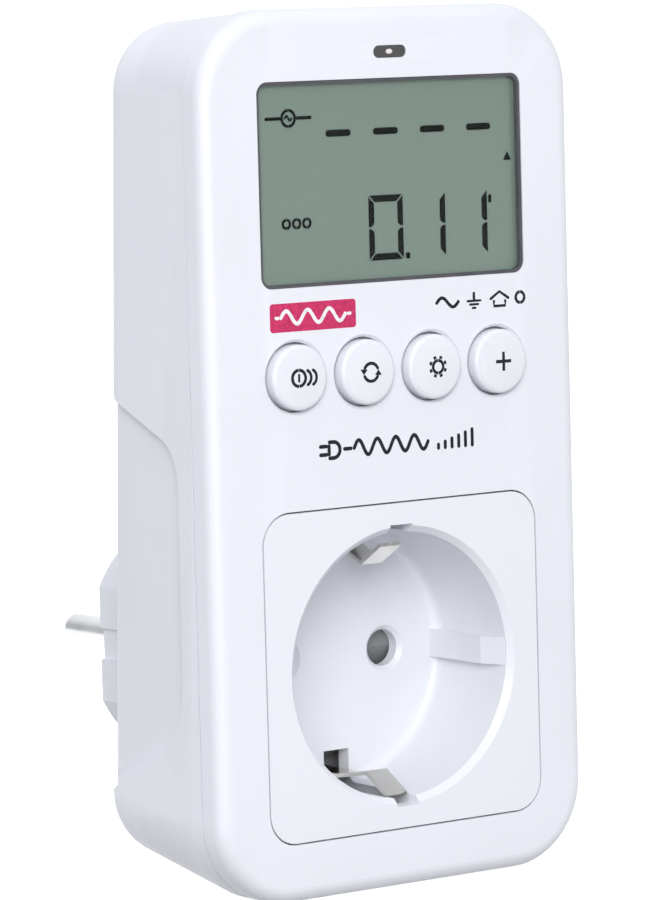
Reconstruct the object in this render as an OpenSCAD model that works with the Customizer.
// Plug-in power meter: a mains plug behind, an earthed socket and a display in front.
// X is to the right, Y runs from the front face back to the plug, Z is up.
// The origin is the middle of the bounding box's base, so the meter stands on Z = 0.
// Parts are drawn from the front face (y = 0) and the socket's axis (z = 0), then placed.

/* [Housing] */
// Width of the housing
body_w = 66.5; // [65:0.5:70]
// Height of the housing
body_h = 128; // [127:0.5:132]
// Depth of the housing at the middle of its height
body_d = 32.5; // [32:0.1:32.8]
// Corner radius seen from the front
corner_r = 12.5; // [12:0.5:13]
// Rounding of the front edge
front_round = 2.3; // [1.5:0.1:2.6]
// Rounding of the rear edge
rear_round = 6; // [5:0.5:6]
// Draft of the rear case's walls
draft = 6.3; // [5.5:0.1:6.5]
// Angle that the rear case leans forward
lean = 3; // [2.5:0.1:3.2]
// Wall thickness
wall = 2; // [1.8:0.1:2.2]
// Depth of the seam between the front cover and the rear case
seam_y = 5; // [4.5:0.5:6]
// Depth of the finger recess in each side
grip_depth = 1.1; // [0.5:0.1:1.2]

/* [Socket] */
// Height of the socket's axis above the base
socket_up = 32.5; // [32:0.5:34]
// Radius of the well that takes a round earthed plug
well_r = 19.5; // [19.5:0.1:19.6]
// Depth of the well
well_depth = 17.5; // [17.5:0.1:17.8]
// Distance between the two pins, here and on the plug
pin_pitch = 19; // [19:0.1:19.2]
// Radius of each pin hole in the well's floor
hole_r = 2.75; // [2.6:0.05:2.8]
// Width of the socket's square front panel
panel_w = 49.3; // [48:0.1:49.4]
// Height of the socket's square front panel
panel_h = 47.5; // [46:0.1:47.6]
// Angle that the shutter turns to uncover the pin holes
shutter_swing = 38; // [37:1:40]

/* [Plug] */
// Distance from the front face to the face of the plug
plug_face_y = 54; // [53:0.5:55]
// Radius of the plug's round body
plug_r = 19.1; // [18.5:0.1:19.1]
// Half the width across the plug's flat sides
plug_flat = 17; // [16.9:0.1:17.6]
// Radius of each plug pin
pin_r = 2.4; // [2.35:0.05:2.4]
// Length of each plug pin past the plug's face
pin_len = 19; // [18.5:0.5:19.5]

/* [Display] */
// Width of the display window
window_w = 47.6; // [46:0.1:47.6]
// Height of the display window
window_h = 29.3; // [28:0.1:29.3]
// Height of the window's middle above the socket's axis
window_z = 70.6; // [70.4:0.1:70.8]
// Height of the indicator slot above the socket's axis
indicator_z = 89; // [88.9:0.1:89.2]

/* [Buttons] */
// Radius of each button
button_r = 4.72; // [4.4:0.01:4.75]
// Distance between neighbouring buttons
button_pitch = 12.14; // [12:0.01:12.3]
// Height of the button row above the socket's axis
button_z = 43.2; // [43:0.1:43.4]
// How far a button stands out of the front face
button_proud = 1.6; // [1.3:0.1:1.6]
// How far a button travels
button_travel = 1; // [0.8:0.1:1]

/* [Hidden] */
$fn = 64;
e = 0.01;
over = 1;

// Placing
pin_x = pin_pitch / 2;
tip_y = plug_face_y + pin_len;
front_y = -(tip_y - button_proud) / 2;

// Housing
lap = 1.5;
top_z = body_h - socket_up;
base_z = -socket_up;
mid_z = (top_z + base_z) / 2;
front_t = 2.2;
clear = 0.05;
wall_y = body_d - wall / 2;
well_fillet = 1.6;
grip_head_z = 28;
plinth_y = 36;
plinth_r = 24.5;
plug_seat_y = 29;
case_x = 26.5;
case_boss_r = 2;
case_post_r = 3.2;
case_hole_r = 2.4;
case_boss_y = 10;
case_seat_y = 18;
label_z = 61;

// Socket
floor_t = 2.5;
floor_y = well_depth + floor_t;
tube_r = well_r + 1.8;
earth_slot_w = 4.6;
earth_slot_y = 2.6;
earth_slot_z = 14.3;
shutter_y = floor_y + 0.15;
shutter_t = 1.6;
wing_r = 3.2;
stop_reach = 9;
stop_r = 0.8;
stop_turn = asin((wing_r + stop_r + 0.1) / stop_reach);
stop_angles = [stop_turn, -shutter_swing - stop_turn];
carrier_y = floor_y + 2.3;
carrier_t = 2;
carrier_r = 16;
carrier_screws_at = [[5.2, 12.4], [-5.2, -12.4]];
tulip_r = 3.1;
tulip_in = 2.35;
tulip_end = 34.5;
web_y = carrier_y + carrier_t + 0.2;
strip_t = 0.8;

// Plug
plug_wall = 2;
plug_face_t = 3;
plug_flange_y = plug_seat_y - 1.4;
plug_flange_r = 23.8;
strap_y = 32;
pin_tail_y = 42;
earth_arm_z = 18.3;

// Display and boards
display_y = 9.6;
pill_t = 0.6;
button_gap = 0.35;
pill_y = display_y - 0.3 - button_travel - pill_t;
glass_y = 1.05;
lens_y = 0.12;
lcd_back = 9.6;
pocket_y = 1;
window_r = 1.8;
slot_w = 5.9;
slot_h = 1.8;
frame_w = 50.8;
frame_lo = 51.9;
frame_hi = 87.3;
glass_w = 48.9;
glass_lo = 53.1;
glass_hi = 86.1;
ledge_z = 56;
board_t = 1.6;
display_w = 58.8;
display_lo = 36.5;
display_hi = 91.2;
display_screws = [for (x = [-27.9, 27.9], z = [41, 77]) [x, z]];
main_y = 21.5;
main_w = 55;
main_lo = 24.5;
main_hi = 84;
main_screws = [for (x = [-24, 24], z = [33, 78]) [x, z]];
case_screws_at = [for (x = [-case_x, case_x], z = [-15, 46.5]) [x, z]];
flange_screws = [for (a = [30, 150, 210, 330]) [21.5 * cos(a), 21.5 * sin(a)]];
white = "whitesmoke";

// ---------------------------------------------------------------- helpers

module placed() {
    translate([0, front_y, socket_up]) children();
}

// A round bar along Y from y0 to y1
module bar_y(r, y0, y1) {
    translate([0, y0, 0]) rotate([-90, 0, 0]) cylinder(r = r, h = y1 - y0);
}

// A cone along Y
module cone_y(r0, r1, y0, y1) {
    translate([0, y0, 0]) rotate([-90, 0, 0]) cylinder(r1 = r0, r2 = r1, h = y1 - y0);
}

// A front-view outline given thickness from y0 to y1
module plate(y0, y1) {
    translate([0, y1, 0]) rotate([90, 0, 0]) linear_extrude(y1 - y0) children();
}

// A box by its corners
module block(x0, x1, y0, y1, z0, z1) {
    translate([x0, y0, z0]) cube([x1 - x0, y1 - y0, z1 - z0]);
}

module rounded_rect(w, h, r) {
    square([w - 2 * r, h], center = true);
    square([w, h - 2 * r], center = true);
    for (sx = [-1, 1], sz = [-1, 1])
        translate([sx * (w / 2 - r), sz * (h / 2 - r)]) circle(r);
}

// Half of a rim's section: t outward from 0 to reach, y from y0 to y1
module rim_half(reach, y0, y1, rf, rr) {
    translate([0, y0]) square([reach - rf, y1 - y0 - rr]);
    translate([0, y0 + rf]) square([reach - rr, y1 - y0 - rf]);
    translate([0, y0 + rf]) square([reach, y1 - y0 - rf - rr]);
    if (rf > 0) translate([reach - rf, y0 + rf]) intersection() {
        circle(rf);
        translate([-e, -rf]) square([rf + e, rf + e]);
    }
    if (rr > 0) translate([reach - rr, y1 - rr]) intersection() {
        circle(rr);
        translate([-e, -e]) square([rr + e, rr + e]);
    }
}

module rim_full(half, y0, y1, rf, rr) {
    rim_half(half, y0, y1, rf, rr);
    mirror([1, 0]) rim_half(half, y0, y1, rf, rr);
}

// A slab with round corners seen from the front and rounded front and rear edges
module slab(w, h, r, y0, y1, rf, rr) {
    translate([0, 0, mid_z]) {
        translate([0, 0, -(h / 2 - r)]) linear_extrude(h - 2 * r) rim_full(w / 2, y0, y1, rf, rr);
        rotate([0, 90, 0]) translate([0, 0, -(w / 2 - r)])
            linear_extrude(w - 2 * r) rim_full(h / 2, y0, y1, rf, rr);
        for (sx = [-1, 1], sz = [-1, 1])
            translate([sx * (w / 2 - r), 0, sz * (h / 2 - r)]) rotate([-90, 0, 0])
                rotate_extrude() rim_half(r, y0, y1, rf, rr);
    }
}

// The housing's slab drawn in by a distance
module housing(inset, y0, y1, rf, rr) {
    slab(body_w - 2 * inset, body_h - 2 * inset, corner_r - inset, y0, y1, rf, rr);
}

// Half of the drafted rear case's section, drawn in by a distance, with its rear edge rounded by rr
module drafted_half(reach, back, rr) {
    ahead = seam_y - 8;
    centre = [reach - to_hundredth((back - rr - seam_y) * tan(draft) + rr / cos(draft)), back - rr];
    polygon([
        [0, ahead], [reach + (seam_y - ahead) * tan(draft), ahead],
        centre + rr * [cos(draft), sin(draft)], centre, [centre[0], back], [0, back]
    ]);
    translate(centre) intersection() {
        circle(rr);
        translate([-e, -e]) square([rr + e, rr + e]);
    }
}

function to_hundredth(v) = round(100 * v) / 100;

module drafted_full(half, back, rr) {
    drafted_half(half, back, rr);
    mirror([1, 0]) drafted_half(half, back, rr);
}

module leaning() {
    translate([0, seam_y, mid_z]) rotate([lean, 0, 0]) translate([0, -seam_y, -mid_z]) children();
}

// The rear case's leaning shape, drawn in by inset, that stays within the front cover's outline
module rear_shape(inset, back, rr, start = seam_y) {
    w = body_w - 2 * inset;
    h = body_h - 2 * inset;
    r = corner_r - inset;
    intersection() {
        leaning() translate([0, 0, mid_z]) {
            translate([0, 0, -(h / 2 - r)]) linear_extrude(h - 2 * r) drafted_full(w / 2, back, rr);
            rotate([0, 90, 0]) translate([0, 0, -(w / 2 - r)])
                linear_extrude(w - 2 * r) drafted_full(h / 2, back, rr);
            for (sx = [0, 1], sz = [0, 1]) mirror([sx, 0, 0]) mirror([0, 0, sz])
                translate([w / 2 - r, 0, -(h / 2 - r)]) rotate([-90, 0, 0])
                    rotate_extrude(angle = 90) drafted_half(r, back, rr);
        }
        housing(inset, start, body_d + 10, 0, 0);
    }
}

// Distance back of the leaning plane through depth at height z
function plane_y(depth, z) = seam_y + (depth - seam_y) / cos(lean) - (z - mid_z) * tan(lean);

// A bent strip's section, its bends mitred
module strip_2d(points, t) {
    polygon(concat(strip_side(points, t / 2, false), strip_side(points, -t / 2, true)));
}

// One side of a strip along points, its bends mitred, away from the middle line by off
function strip_side(points, off, back) = [
    for (k = [0:len(points) - 1]) let (
        i = back ? len(points) - 1 - k : k,
        j = max(i, 1),
        m = min(i, len(points) - 2),
        before = (points[j] - points[j - 1]) / norm(points[j] - points[j - 1]),
        after = (points[m + 1] - points[m]) / norm(points[m + 1] - points[m]),
        across = [-before[1] - after[1], before[0] + after[0]]
    ) points[i] + off / (1 + before * after) * across
];

// A section drawn in (y, z), given a width along X about the middle
module along_x(width) {
    translate([-width / 2, 0, 0]) rotate([90, 0, 90]) linear_extrude(width) children();
}

// A round wire through points
module wire(points, r) {
    for (i = [0:len(points) - 2]) {
        d = points[i + 1] - points[i];
        translate(points[i]) rotate([0, acos(d[2] / norm(d)), atan2(d[1], d[0])])
            cylinder(r = r, h = norm(d));
    }
    for (i = [1:len(points) - 2]) translate(points[i]) sphere(r);
}

module at(points) {
    for (p = points) translate([p[0], 0, p[1]]) children();
}

// A pan-head screw: its head starts at y_head and its shank runs the other way for length
module screw(y_head, head_r, head_t, shank_r, length, toward) {
    difference() {
        bar_y(head_r, min(y_head, y_head - toward * head_t), max(y_head, y_head - toward * head_t));
        for (a = [0, 90]) translate([0, y_head - toward * head_t, 0]) rotate([0, a, 0])
            cube([head_r * 1.3, head_t, 0.35], center = true);
    }
    bar_y(shank_r, min(y_head, y_head + toward * length) - e, max(y_head, y_head + toward * length) + e);
}

// ---------------------------------------------------------------- housing

module front_cover() {
    color(white) placed() difference() {
        union() {
            difference() {
                housing(0, 0, seam_y, front_round, 0);
                housing(wall, front_t, seam_y + over, 0.5, 0);
                // the edge's step that shows as the seam
                difference() {
                    housing(-over, seam_y - 0.3, seam_y + over, 0, 0);
                    housing(0.4, seam_y - over, seam_y + 2 * over, 0, 0);
                }
            }
            at(case_screws_at) bar_y(case_boss_r, front_t - e, case_boss_y);
            at(display_screws) bar_y(2.2, front_t - e, display_y);
        }
        // window and the pocket behind it
        translate([0, 0, window_z]) plate(-over, front_t) rounded_rect(window_w, window_h, window_r);
        block(-25.5, 25.5, pocket_y, front_t + e, glass_lo - 0.3, window_z + 16.4);
        // buttons
        for (i = [0:3]) translate([button_x(i), 0, button_z]) {
            bar_y(button_r + button_gap, -over, front_t + over);
            cone_y(button_r + button_gap + 0.4, button_r + button_gap, -e, 0.4);
        }
        // indicator
        translate([0, 0, indicator_z]) plate(-over, front_t + over)
            rounded_rect(slot_w, slot_h, slot_h / 2 - e);
        // socket panel
        plate(-over, front_t + over) rounded_rect(panel_w + 0.5, panel_h + 0.5, 4.75);
        at(case_screws_at) bar_y(0.9, 4, case_boss_y + over);
        at(display_screws) bar_y(0.9, 4, display_y + over);
    }
}

function button_x(i) = (i - 1.5) * button_pitch;

// The finger recess's outline in (y, z): a front edge, rounded into a roof and a sill that run back
module grip_2d() {
    front = 9.25;
    top_r = 7;
    top_c = [front + top_r, grip_head_z];
    top_a = 18.9;
    low_r = 11.5;
    low_c = [front + low_r, -0.3];
    low_a = 25;
    back = body_d + 6;
    top_t = top_c + top_r * [-sin(top_a), cos(top_a)];
    low_t = low_c + low_r * [-sin(low_a), -cos(low_a)];
    polygon([
        [front, top_c[1]], top_c, top_t,
        [back, top_t[1] + (back - top_t[0]) * tan(top_a)],
        [back, low_t[1] - (back - low_t[0]) * tan(low_a)],
        low_t, low_c, [front, low_c[1]]
    ]);
    translate(top_c) circle(top_r);
    translate(low_c) circle(low_r);
}

module grip_cut() {
    difference() {
        along_x(body_w + 10) grip_2d();
        rear_shape(grip_depth, body_d, rear_round - grip_depth);
        block(-20, 20, 0, body_d + 10, base_z, top_z);
    }
}

module plug_outline(r, flat) {
    intersection() {
        circle(r);
        square([2 * flat, 3 * r], center = true);
    }
}

module rear_case() {
    color(white) placed() difference() {
        union() {
            difference() {
                rear_shape(0, body_d, rear_round);
                rear_shape(wall, body_d - wall, rear_round - wall, seam_y - over);
                grip_cut();
            }
            // the lip inside the front cover
            difference() {
                housing(wall + 0.15, seam_y - lap, seam_y + 1, 0, 0);
                housing(wall + 1.15, seam_y - lap - over, seam_y + 2, 0, 0);
                at(display_screws) bar_y(2.6, 0, seam_y + 3);
            }
            difference() {
                housing(wall - 0.2, seam_y, seam_y + 1, 0, 0);
                housing(wall + 1.15, seam_y - over, seam_y + 2, 0, 0);
                at(display_screws) bar_y(2.6, 0, seam_y + 3);
            }
            // posts, ending inside the rear wall
            intersection() {
                union() {
                    for (p = case_screws_at) post(p, case_post_r, case_boss_y + 0.1);
                    for (p = main_screws) post(p, 2.6, main_y + board_t + clear);
                    for (sx = [-1, 1], sz = [-1, 1])
                        post([sx * 22.3, sz * 21.8], 1.9, front_t + 1.6 + clear);
                }
                rear_shape(0.6, body_d - 0.6, rear_round - 0.6, 0);
            }
            // plinth round the plug, with a seat for its flange inside
            bar_y(plinth_r, plug_seat_y, plinth_y - 0.8);
            cone_y(plinth_r, plinth_r - 0.8, plinth_y - 0.8, plinth_y);
        }
        // a shallow field for a rating plate
        leaning() translate([0, 0, label_z]) plate(body_d - 0.3, body_d + over) rounded_rect(40, 34, 2);
        // the plug's opening
        plate(plug_seat_y - over, plinth_y + over) plug_outline(plug_r + 0.1, plug_flat + 0.1);
        at(case_screws_at) {
            bar_y(1.2, case_boss_y - over, body_d + 10);
            bar_y(case_hole_r, case_seat_y, body_d + 10);
        }
        at(main_screws) bar_y(0.8, main_y, main_y + 5.2);
        at(flange_screws) bar_y(0.9, plug_seat_y - over, plug_seat_y + 3.2);
    }
}

// A round post from y0 to the middle of the rear wall
module post(p, r, y0) {
    at([p]) bar_y(r, y0, plane_y(wall_y, p[1]));
}

// ---------------------------------------------------------------- socket

module socket_insert() {
    color(white) placed() {
        difference() {
            union() {
                plate(0, front_t + clear) rounded_rect(panel_w, panel_h, 4.5);
                plate(front_t + clear, front_t + 1.6) rounded_rect(51.8, 50, 5.8);
                bar_y(tube_r, 0.5, floor_y);
                at(carrier_screws_at) bar_y(2.2, floor_y - e, carrier_y);
                bar_y(1.5, floor_y - e, carrier_y);
                // stops for the shutter, closed and open
                for (a = stop_angles, turn = [0, 180])
                    at([stop_reach * [cos(a + turn), sin(a + turn)]])
                        bar_y(stop_r, floor_y - e, shutter_y + shutter_t);
            }
            bar_y(well_r, -over, well_depth - well_fillet);
            translate([0, well_depth - well_fillet, 0]) rotate([-90, 0, 0]) rotate_extrude() {
                translate([0, -e]) square([well_r - well_fillet, well_fillet + e]);
                translate([well_r - well_fillet, 0]) intersection() {
                    circle(well_fillet);
                    translate([-e, -e]) square([well_fillet + e, well_fillet + e]);
                }
            }
            cone_y(well_r + 0.9, well_r, -e, 0.9);
            for (sx = [-1, 1]) translate([sx * pin_x, 0, 0]) {
                bar_y(hole_r, well_depth - over, floor_y + over);
                cone_y(hole_r + 0.7, hole_r, well_depth - e, well_depth + 0.7);
            }
            for (sz = [-1, 1]) mirror([0, 0, sz < 0 ? 1 : 0]) {
                block(-earth_slot_w / 2, earth_slot_w / 2, earth_slot_y, floor_y + over, 16.4, 22);
                block(-earth_slot_w / 2, earth_slot_w / 2, well_depth - e, floor_y + over, earth_slot_z, 17);
                block(-2, 2, -over, earth_slot_y + e, 19, 20.6);
            }
            at(case_screws_at) bar_y(case_boss_r + 0.3, front_t - clear, floor_y);
            at(carrier_screws_at) bar_y(0.8, well_depth + 0.8, carrier_y + over);
        }
        // guide ribs at the two sides of the well
        for (sx = [-1, 1]) mirror([sx < 0 ? 1 : 0, 0, 0]) intersection() {
            translate([0, 0, -2.05]) linear_extrude(4.1)
                polygon([[20, 1.2], [19.4, 1.2], [17.9, 5], [17.9, well_depth + e], [20, well_depth + e]]);
            bar_y(well_r + e, 0, floor_y);
        }
    }
}

module shutter() {
    color("gainsboro") placed() difference() {
        union() {
            for (sx = [-1, 0, 1]) translate([sx * 11, 0, 0])
                bar_y(wing_r, shutter_y, shutter_y + shutter_t);
            block(-11, 11, shutter_y, shutter_y + shutter_t, -wing_r, wing_r);
        }
        bar_y(1.55, shutter_y - over, shutter_y + shutter_t + over);
        // sloped faces that the entering pins push on
        for (sx = [-1, 1]) rotate([0, sx < 0 ? 180 : 0, 0]) translate([pin_x, shutter_y, 0])
            rotate([24, 0, 0]) translate([-3.4, -2.2, -4]) cube([6.8, 2.2, 8]);
    }
}

module shutter_spring() {
    color("silver") placed() {
        translate([0, carrier_y - 0.3, 0]) rotate([-90, 0, 0]) rotate_extrude(angle = 300)
            translate([2.6, 0]) circle(0.22, $fn = 24);
    }
}

module contact_carrier() {
    color("gainsboro") placed() difference() {
        plate(carrier_y, carrier_y + carrier_t) circle(carrier_r);
        for (sx = [-1, 1]) translate([sx * pin_x, 0, 0])
            bar_y(tulip_r, carrier_y - over, carrier_y + carrier_t + over);
        at(carrier_screws_at)
            bar_y(0.95, carrier_y - over, carrier_y + carrier_t + over);
        bar_y(3.1, carrier_y - over, carrier_y + 0.6);
    }
}

// A sprung sleeve with two slits that grips a plug pin
module tulip() {
    difference() {
        union() {
            bar_y(tulip_r, carrier_y + 0.1, tulip_end);
            translate([0, tulip_end - 0.8, 0]) rotate([-90, 0, 0]) cylinder(r = tulip_r, h = 0.8);
        }
        bar_y(tulip_in, carrier_y - over, tulip_end - 0.8);
        cone_y(tulip_in + 0.5, tulip_in, carrier_y, carrier_y + 1.2);
        block(-0.4, 0.4, carrier_y + carrier_t + 0.2, tulip_end - 2, -4, 4);
    }
}

module line_contact() {
    color("gold") placed() translate([-pin_x, 0, 0]) tulip();
}

module neutral_contact() {
    color("gold") placed() translate([pin_x, 0, 0]) tulip();
}

// One spring-steel stamping: a web behind the well and a sprung finger at its top and bottom,
// the lower one bent further out
module socket_earth_bracket() {
    middle = [web_y + strip_t / 2, 0];
    upper = [middle, [middle[0], 17.7], [15, 17.7], [7.6, 14.6], [2.9, 17.5]];
    lower = [middle, [middle[0], 17.7], [15, 17.7], [7.7, 16.5], [2.95, 19.3]];
    color("lightgray") placed() {
        along_x(3.8) strip_2d(upper, 0.6);
        mirror([0, 0, 1]) along_x(3.8) strip_2d(lower, 0.6);
    }
}

module earth_post() {
    color("gold") placed() bar_y(1.5, web_y + strip_t / 2 + 0.3, strap_y);
}

// ---------------------------------------------------------------- plug

module plug_base() {
    arm_w = 7;
    color(white) placed() difference() {
        union() {
            plate(plug_flange_y, plug_face_y) plug_outline(plug_r, plug_flat);
            difference() {
                bar_y(plug_flange_r, plug_flange_y, plug_seat_y);
                at(flange_screws) bar_y(1.15, 0, body_d);
            }
        }
        // hollow, open to the front
        plate(plug_flange_y - over, plug_face_y - plug_face_t)
            plug_outline(plug_r - plug_wall, plug_flat - plug_wall);
        for (sx = [-1, 1]) {
            translate([sx * pin_x, 0, 0]) bar_y(2.6, pin_tail_y, plug_face_y + over);
            // guide groove
            mirror([sx < 0 ? 1 : 0, 0, 0])
                block(plug_flat - 0.6, plug_r, plinth_y + 0.2, plug_face_y + over, -2.4, 2.4);
        }
        for (sz = [-1, 1]) mirror([0, 0, sz < 0 ? 1 : 0]) {
            block(-arm_w / 2, arm_w / 2, strap_y - 0.1, plug_face_y + over, earth_arm_z - 0.4, 20);
            block(-3.1, 3.1, strap_y - 0.1, strap_y + strip_t + 0.1, 14, earth_arm_z);
        }
    }
}

module plug_pin() {
    color("silver") placed() {
        bar_y(2, pin_tail_y, plug_face_y - plug_face_t - 1.5);
        bar_y(3.2, plug_face_y - plug_face_t - 1.6, plug_face_y - plug_face_t);
        bar_y(2.6, plug_face_y - plug_face_t - e, plug_face_y);
        bar_y(pin_r, plug_face_y - e, tip_y - 1.6);
        translate([0, tip_y - 1.6, 0]) rotate([-90, 0, 0]) rotate_extrude() {
            square([pin_r - 1.6, 1.6]);
            intersection() {
                translate([pin_r - 1.6, 0]) circle(1.6);
                translate([0, -e]) square([pin_r, 1.6 + e]);
            }
        }
    }
}

module plug_pin_left() {
    translate([-pin_x, 0, 0]) plug_pin();
}

module plug_pin_right() {
    translate([pin_x, 0, 0]) plug_pin();
}

// One stamping: a web across the plug's inside and an arm along its top and bottom
module plug_earth_strap() {
    color("lightgray") placed() {
        for (sz = [0, 1]) mirror([0, 0, sz]) {
            block(-3, 3, strap_y, strap_y + strip_t, 0, earth_arm_z);
            block(-3, 3, strap_y, plug_face_y - 0.6, earth_arm_z - 0.4, earth_arm_z + 0.4);
        }
    }
}

// ---------------------------------------------------------------- conductors

module line_feed_bar() {
    color("peru") placed() {
        block(-11.5, -7.5, pin_tail_y - strip_t, pin_tail_y, -2, 12);
        block(-11.5, -7.5, web_y, pin_tail_y, 12 - strip_t, 12);
        block(-11.5, -7.5, web_y, web_y + strip_t, 12 - strip_t, 27);
        block(-11.5, -7.5, main_y + board_t, web_y + strip_t, 27 - strip_t, 27);
    }
}

module line_load_bar() {
    color("peru") placed() {
        block(-14.5, -7.5, tulip_end, tulip_end + strip_t, -2, 2);
        block(-14.5, -12.1, tulip_end, tulip_end + strip_t, -2, 8);
        block(-14.5, -12.1, web_y, tulip_end + strip_t, 8 - strip_t, 8);
        block(-14.5, -12.1, web_y, web_y + strip_t, 8 - strip_t, 27);
        block(-14.5, -12.1, main_y + board_t, web_y + strip_t, 27 - strip_t, 27);
    }
}

module neutral_bar() {
    color("peru") placed() {
        block(pin_x - 2, pin_x + 2, tulip_end, tulip_end + strip_t, -2, 2);
        block(pin_x - strip_t / 2, pin_x + strip_t / 2, tulip_end, pin_tail_y, -2, 2);
        block(pin_x - 2, pin_x + 2, pin_tail_y - strip_t, pin_tail_y, -2, 2);
    }
}

module neutral_wire() {
    color("royalblue") placed() wire([
        [pin_x, 38, 2], [pin_x, 38, 10], [pin_x, web_y + 0.45, 10],
        [pin_x, web_y + 0.45, 26], [pin_x, main_y + board_t, 26]
    ], 0.55);
}

// ---------------------------------------------------------------- display

module lcd_window() {
    color("honeydew", 0.4) placed() translate([0, 0, window_z]) plate(lens_y, glass_y - clear)
        rounded_rect(window_w - 1, window_h - 1, window_r - 0.5);
}

module lcd_gasket() {
    color("darkslategray") placed() translate([0, 0, window_z]) plate(lens_y + 0.08, pocket_y) difference() {
        rounded_rect(window_w - 0.04, window_h - 0.04, window_r - 0.02);
        rounded_rect(window_w - 0.96, window_h - 0.96, window_r - 0.48);
    }
}

// Two bonded glass sheets; the front one is longer, and its ledge carries the contacts
module lcd_panel() {
    color("darkseagreen") placed() {
        block(-glass_w / 2, glass_w / 2, glass_y, glass_y + 1.2, glass_lo, glass_hi);
        block(-glass_w / 2, glass_w / 2, glass_y + 1.2, glass_y + 2.4, ledge_z, glass_hi);
    }
}

module lcd_frame() {
    back = lcd_back - clear;
    color(white) placed() difference() {
        block(-frame_w / 2, frame_w / 2, front_t + clear, back, frame_lo, frame_hi);
        block(-glass_w / 2 - 0.1, glass_w / 2 + 0.1, 0, glass_y + 2.5, glass_lo - 0.1, glass_hi + 0.1);
        block(-24.1, 24.1, 0, back + over, glass_lo - 0.1, ledge_z - 0.3);
        block(-23.5, 23.5, glass_y + 4, back + over, ledge_z + 1, glass_hi - 1);
    }
}

module zebra_strip() {
    color("dimgray") placed() block(-24, 24, glass_y + 1.2, lcd_back, glass_lo, ledge_z - 0.4);
}

module indicator_lens() {
    color("dimgray") placed() translate([0, 0, indicator_z]) {
        plate(0.15, front_t + clear) rounded_rect(slot_w - 0.1, slot_h - 0.1, slot_h / 2 - 0.05 - e);
        plate(front_t + clear, front_t + 0.9) rounded_rect(7.8, 3.1, 0.6);
    }
}

module indicator_led() {
    color("mistyrose") placed() translate([0, 0, indicator_z]) {
        bar_y(1.5, 5.5, display_y);
        bar_y(1.65, display_y - 1, display_y);
        translate([0, 5.5, 0]) sphere(1.5);
    }
}

// ---------------------------------------------------------------- buttons

module button(i) {
    top_r = 32;
    edge = 0.5;
    shoulder = 0.35;
    color(white) placed() translate([button_x(i), 0, button_z]) {
        intersection() {
            union() {
                bar_y(button_r, edge - button_proud + shoulder, front_t + 0.3);
                translate([0, edge - button_proud + shoulder, 0]) rotate([-90, 0, 0])
                    rotate_extrude() translate([button_r - edge, 0]) circle(edge);
                bar_y(button_r - edge, -button_proud, 0);
            }
            translate([0, top_r - button_proud, 0]) sphere(top_r, $fn = 128);
        }
        bar_y(5.65, front_t + 0.1, front_t + 1);
        bar_y(2.6, front_t + 1 - e, 5.5);
    }
}

module cost_button() {
    button(0);
}

module mode_button() {
    button(1);
}

module set_button() {
    button(2);
}

module plus_button() {
    button(3);
}

module pill(i) {
    color("black") placed() translate([button_x(i), 0, button_z]) bar_y(1.6, pill_y, pill_y + pill_t);
}

module cost_pill() {
    pill(0);
}

module mode_pill() {
    pill(1);
}

module set_pill() {
    pill(2);
}

module plus_pill() {
    pill(3);
}

// A silicone sheet with a hollow dome under each button
module keypad_mat() {
    sheet = 0.8;
    base = display_y - clear;
    color("lightgray") placed() difference() {
        union() {
            translate([0, 0, button_z]) plate(base - sheet, base) rounded_rect(48.4, 11.4, 1.5);
            for (i = [0:3]) translate([button_x(i), 0, button_z]) cone_y(2.7, 4.7, 5.6, base - sheet + e);
        }
        for (i = [0:3]) translate([button_x(i), 0, button_z]) difference() {
            cone_y(2.2, 4.1, 6.2, base + e);
            bar_y(1.7, 0, pill_y - 0.02);
        }
    }
}

// ---------------------------------------------------------------- boards

module display_board() {
    color("darkgreen") placed() difference() {
        block(-display_w / 2, display_w / 2, display_y, display_y + board_t, display_lo, display_hi);
        for (sx = [-1, 1]) mirror([sx < 0 ? 1 : 0, 0, 0]) block(22.5, 32, 0, 20, 86, 93);
        at(case_screws_at) bar_y(case_post_r + 0.3, 0, 20);
        at(display_screws) bar_y(1.1, 0, 20);
    }
}

module main_board() {
    color("darkgreen") placed() difference() {
        block(-main_w / 2, main_w / 2, main_y, main_y + board_t, main_lo, main_hi);
        at(case_screws_at) bar_y(case_post_r + 0.3, 0, 30);
        at(main_screws) bar_y(1.1, 0, 30);
    }
}

// A flat package with legs on its two or four sides
module chip(w, h, t, legs_x, legs_z, y0, y1) {
    block(-w / 2, w / 2, min(y0, y1), max(y0, y1), -h / 2, h / 2);
    foot = (y1 > y0) ? [y0, y0 + 0.3] : [y0 - 0.3, y0];
    for (k = [0:1:legs_z - 1]) translate([0, 0, (k - (legs_z - 1) / 2) * h / (legs_z + 0.5)])
        block(-w / 2 - t, w / 2 + t, foot[0], foot[1], -0.25, 0.25);
    for (k = [0:1:legs_x - 1]) translate([(k - (legs_x - 1) / 2) * w / (legs_x + 0.5), 0, 0])
        block(-0.25, 0.25, foot[0], foot[1], -h / 2 - t, h / 2 + t);
}

module controller_chip() {
    color("black") placed() translate([0, 0, 68]) chip(10, 10, 1, 8, 8, display_y + board_t, display_y + board_t + 1.5);
}

module crystal() {
    color("silver") placed() translate([14, display_y + board_t, 68]) rotate([-90, 0, 0]) linear_extrude(3.4) {
        square([6, 4], center = true);
        for (s = [-1, 1]) translate([s * 3, 0]) circle(2);
    }
}

module board_link_housing() {
    color("black") placed() block(-20.5, -5.2, display_y + board_t, display_y + board_t + 2.5, 49, 51.5);
}

module board_link_pins() {
    color("gold") placed() for (k = [0:5])
        block(-19.5 + 2.54 * k, -18.9 + 2.54 * k, display_y + board_t + 2.5, main_y, 49.95, 50.55);
}

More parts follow.
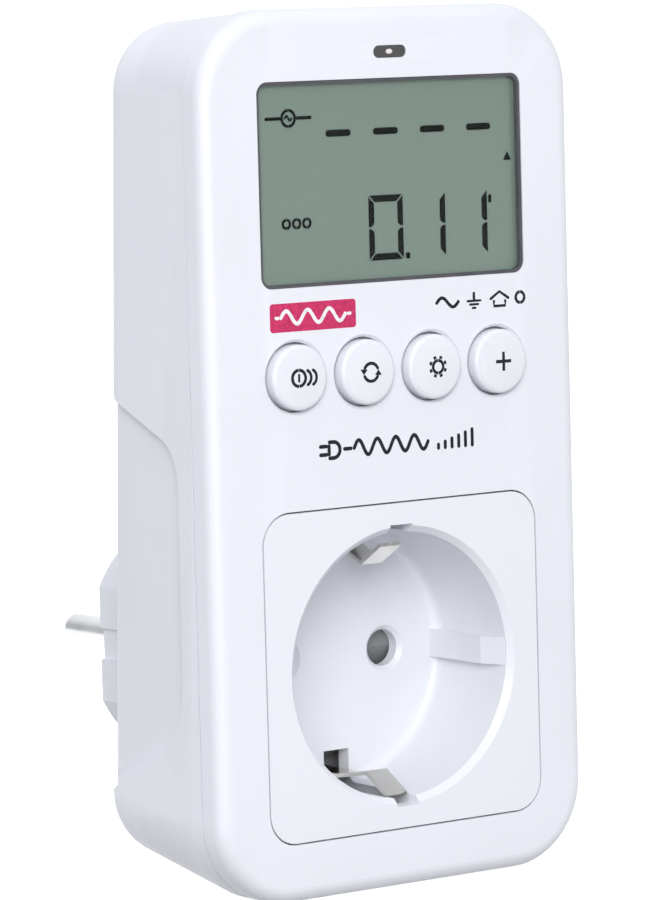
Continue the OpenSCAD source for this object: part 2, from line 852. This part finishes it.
module metering_chip() {
    color("black") placed() translate([0, 0, 44]) chip(6, 10, 0.9, 0, 8, main_y, main_y - 1.6);
}

// A folded resistance strip standing on the board between the two line bars
module shunt_resistor() {
    color("rosybrown") placed() {
        block(-14.2, -12.6, main_y - 5, main_y, 26.5, 29.5);
        block(-10.4, -8.8, main_y - 5, main_y, 26.5, 29.5);
        block(-14.2, -8.8, main_y - 5, main_y - 3.6, 26.5, 29.5);
    }
}

module film_capacitor() {
    color("goldenrod") placed() difference() {
        block(-26.3, -17.3, main_y - 9.2, main_y, 54, 72);
        block(-26.4, -17.2, main_y - 0.5, main_y + e, 56, 70);
    }
}

module electrolytic_capacitor() {
    color("midnightblue") placed() translate([17, 0, 62]) {
        bar_y(4, main_y - 9, main_y);
    }
}

module varistor() {
    color("steelblue") placed() translate([1, main_y - 5, 32]) {
        rotate([0, 90, 0]) translate([0, 0, -2]) cylinder(r = 4.5, h = 4);
        block(-0.4, 0.4, 3, 5, -3, -2.2);
        block(-0.4, 0.4, 3, 5, 2.2, 3);
    }
}

module fusible_resistor() {
    color("burlywood") placed() {
        translate([9, main_y - 2.2, 44]) rotate([0, 90, 0]) cylinder(r = 1.8, h = 8);
        wire([[9.1, main_y - 2.2, 44], [7, main_y - 2.2, 44], [7, main_y, 44]], 0.3);
        wire([[16.9, main_y - 2.2, 44], [19, main_y - 2.2, 44], [19, main_y, 44]], 0.3);
    }
}

module bridge_rectifier() {
    color("black") placed() translate([14, 0, 52]) chip(4.7, 4, 1, 0, 2, main_y, main_y - 2.5);
}

module voltage_regulator() {
    color("black") placed() {
        translate([2, main_y - 7, 55]) rotate([-90, 0, 0]) linear_extrude(5) intersection() {
            circle(2.3);
            translate([-3, -1.4]) square([6, 6]);
        }
        for (k = [-1:1]) block(1.8 + 1.27 * k, 2.2 + 1.27 * k, main_y - 2.1, main_y, 54.8, 55.2);
    }
}

module backup_battery() {
    color("yellowgreen") placed() {
        translate([8.5, 14.7, 30.1]) rotate([0, 90, 0]) cylinder(r = 5.5, h = 15);
        for (k = [0, 1]) block(9 + 13 * k, 9.6 + 13 * k, 19, main_y, 29.8, 30.4);
    }
}

// ---------------------------------------------------------------- fasteners

module case_screws() {
    color("silver") placed() at(case_screws_at) screw(case_seat_y, 2, 1.5, 0.9, case_seat_y - 5, -1);
}

module display_board_screws() {
    color("silver") placed() at(display_screws) screw(display_y + board_t, 1.9, 1.2, 0.9, 6.5, -1);
}

module main_board_screws() {
    color("silver") placed() at(main_screws) screw(main_y, 1.9, 1.2, 0.8, 4.8, 1);
}

module plug_base_screws() {
    color("silver") placed() at(flange_screws) screw(plug_flange_y, 1.8, 1.1, 0.9, 4, 1);
}

module carrier_screws() {
    color("silver") placed() at(carrier_screws_at)
        screw(carrier_y + carrier_t, 1.7, 1, 0.8, 3.6, -1);
}

front_cover();
rear_case();
socket_insert();
plug_base();
lcd_window();
lcd_gasket();
lcd_panel();
lcd_frame();
zebra_strip();
indicator_lens();
indicator_led();
cost_button();
mode_button();
set_button();
plus_button();
cost_pill();
mode_pill();
set_pill();
plus_pill();
keypad_mat();
display_board();
controller_chip();
crystal();
board_link_housing();
board_link_pins();
main_board();
metering_chip();
shunt_resistor();
film_capacitor();
electrolytic_capacitor();
varistor();
fusible_resistor();
bridge_rectifier();
voltage_regulator();
backup_battery();
shutter();
shutter_spring();
contact_carrier();
line_contact();
neutral_contact();
socket_earth_bracket();
earth_post();
plug_earth_strap();
plug_pin_left();
plug_pin_right();
line_feed_bar();
line_load_bar();
neutral_bar();
neutral_wire();
case_screws();
display_board_screws();
main_board_screws();
plug_base_screws();
carrier_screws();
